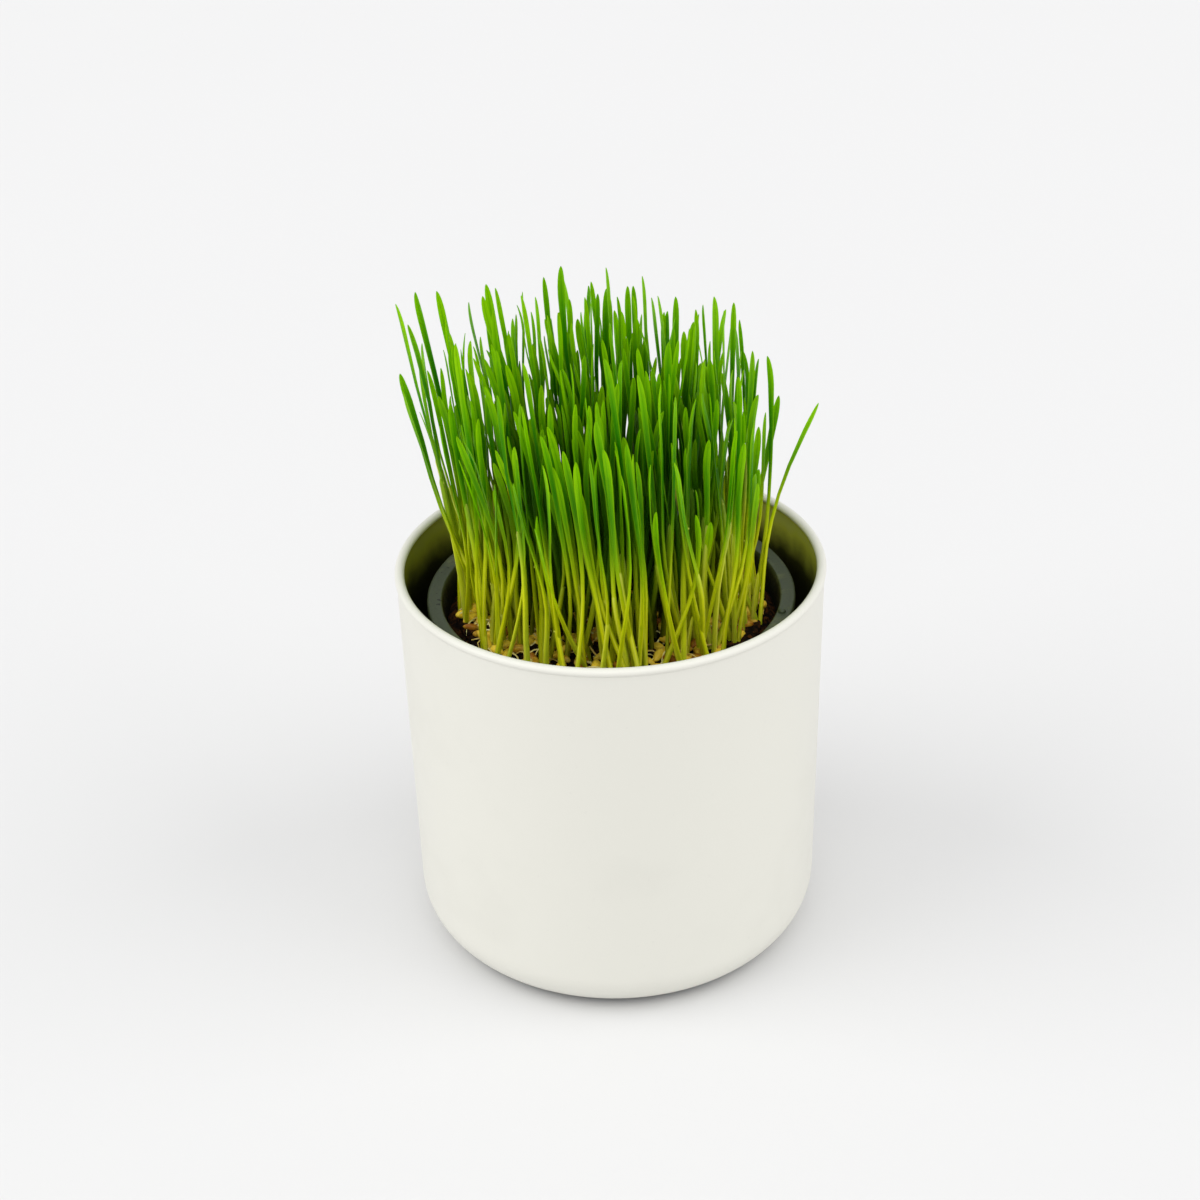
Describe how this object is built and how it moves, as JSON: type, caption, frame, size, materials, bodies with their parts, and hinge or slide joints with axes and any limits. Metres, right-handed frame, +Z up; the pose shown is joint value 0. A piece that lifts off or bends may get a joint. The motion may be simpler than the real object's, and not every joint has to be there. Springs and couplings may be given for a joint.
{
  "type": "wheatgrass pot",
  "caption": "Young wheatgrass growing from grain on dark soil in a nursery pot, which stands inside a round white metal cover pot with a rolled rim.",
  "frame": {"origin": "centre of the cover pot's base, on the surface that it stands on", "axes": "+Z up; -Y towards the side that the picture shows; +X to the right as seen from that side"},
  "size_m": [0.14, 0.14, 0.2253],
  "materials": {
    "cover_paint": "matte",
    "nursery_plastic": "matte",
    "soil": "matte",
    "wheatgrass": "satin"
  },
  "bodies": {
    "root": {"cover_pot": "cover_paint", "nursery_pot": "nursery_plastic", "soil": "soil", "turf_01": "wheatgrass", "turf_02": "wheatgrass", "turf_03": "wheatgrass", "turf_04": "wheatgrass", "turf_05": "wheatgrass", "turf_06": "wheatgrass", "turf_07": "wheatgrass", "turf_08": "wheatgrass", "turf_09": "wheatgrass", "turf_10": "wheatgrass", "turf_11": "wheatgrass", "turf_12": "wheatgrass", "turf_13": "wheatgrass", "turf_14": "wheatgrass", "turf_15": "wheatgrass", "turf_16": "wheatgrass", "turf_17": "wheatgrass", "turf_18": "wheatgrass", "turf_19": "wheatgrass"}
  },
  "joints": []
}
